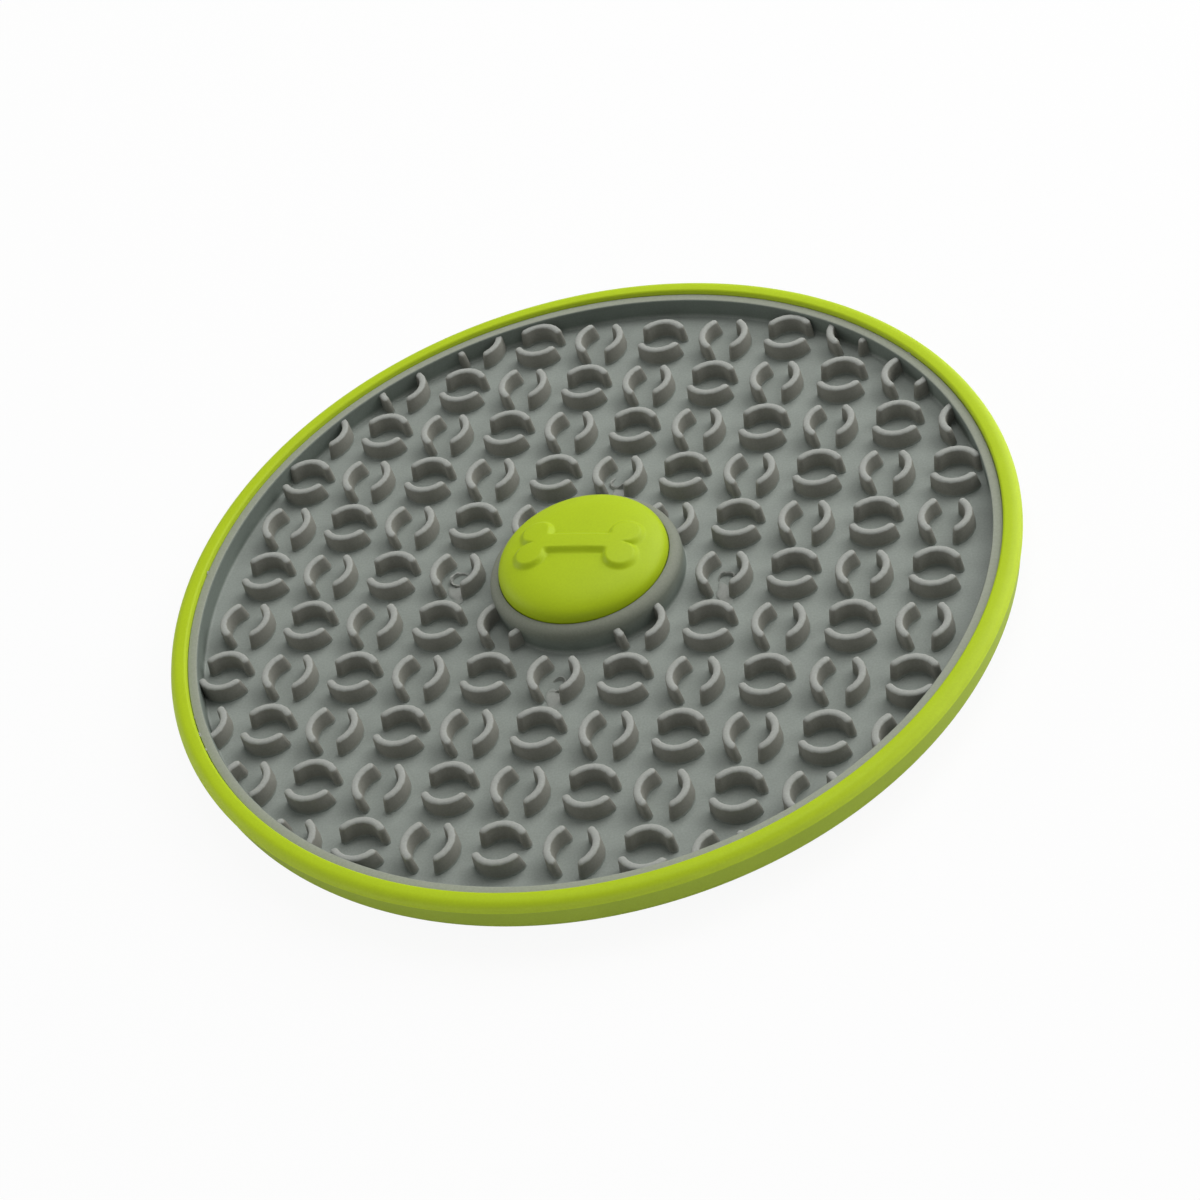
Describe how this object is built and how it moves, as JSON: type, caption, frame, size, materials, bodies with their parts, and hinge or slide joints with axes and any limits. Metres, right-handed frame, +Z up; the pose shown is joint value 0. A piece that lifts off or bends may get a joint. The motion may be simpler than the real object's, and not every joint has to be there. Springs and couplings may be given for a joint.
{
  "type": "lick mat",
  "caption": "Round lick mat with a soft ridged pad in a green rim and tray, and a press cap with a raised bone that works a suction cup underneath.",
  "frame": {"origin": "centre of the mat, on the plane that it stands on", "axes": "+Z up, away from the surface; +X along the rows of ridges and along the bone on the cap; +Y across the bone"},
  "size_m": [0.18, 0.18, 0.0176],
  "materials": {
    "green_plastic": "fine-grained matte lime green moulding",
    "grey_rubber": "soft matte grey rubber, a little lighter on the tips of the ridges",
    "white_plastic": "smooth off-white moulding",
    "cup_rubber": "smooth flexible grey rubber"
  },
  "bodies": {
    "base": {"rim_ring": "green_plastic", "tray": "green_plastic", "lick_pad": "grey_rubber", "lick_ridges": "grey_rubber", "grip_ring": "grey_rubber"},
    "cap": {"press_cap": "green_plastic", "cup_stem": "white_plastic", "suction_cup": "cup_rubber"}
  },
  "joints": [
    {"name": "cap_press", "type": "slide", "parent": "base", "child": "cap", "axis": [0, 0, -1], "range_m": [0, 0.003], "stiffness_N_per_m": 1500, "deforming": ["suction_cup"]}
  ]
}
